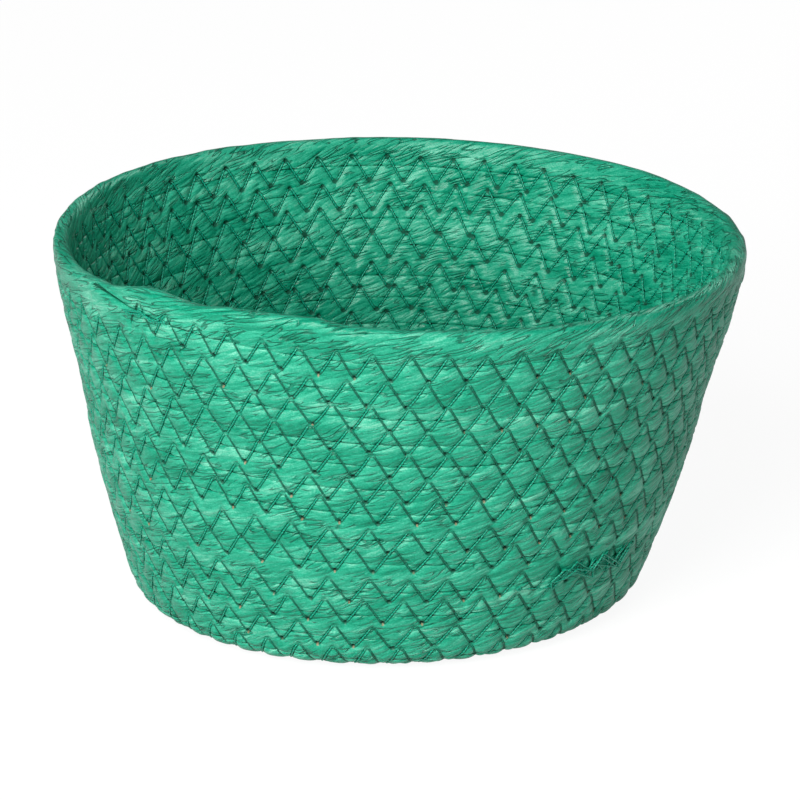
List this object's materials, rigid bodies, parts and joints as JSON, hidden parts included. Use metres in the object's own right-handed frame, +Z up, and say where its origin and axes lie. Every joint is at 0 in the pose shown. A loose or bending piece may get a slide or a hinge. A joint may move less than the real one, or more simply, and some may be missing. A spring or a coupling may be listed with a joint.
{
  "type": "basket",
  "caption": "Round open storage basket of coiled green twisted-paper rope, sewn turn to turn with a zigzag lockstitch, with a flaring wall and a thicker rim turn.",
  "frame": {"origin": "on the surface that the basket stands on, under the middle of its box", "axes": "+Z up, out of the open mouth; -Y towards the side that shows the rope's end at its left and the restarted stitching at its lower right"},
  "size_m": [0.1976, 0.1982, 0.1136],
  "materials": {
    "dyed_paper_rope": "satin",
    "sewing_thread": "satin"
  },
  "bodies": {
    "root": {"base_coil": "dyed_paper_rope", "wall_coil": "dyed_paper_rope", "rim_turn": "dyed_paper_rope", "needle_thread_lower": "sewing_thread", "needle_thread_upper": "sewing_thread", "bobbin_thread_lower": "sewing_thread", "bobbin_thread_upper": "sewing_thread", "restart_tack": "sewing_thread", "rope_end_tack": "sewing_thread"}
  },
  "joints": []
}
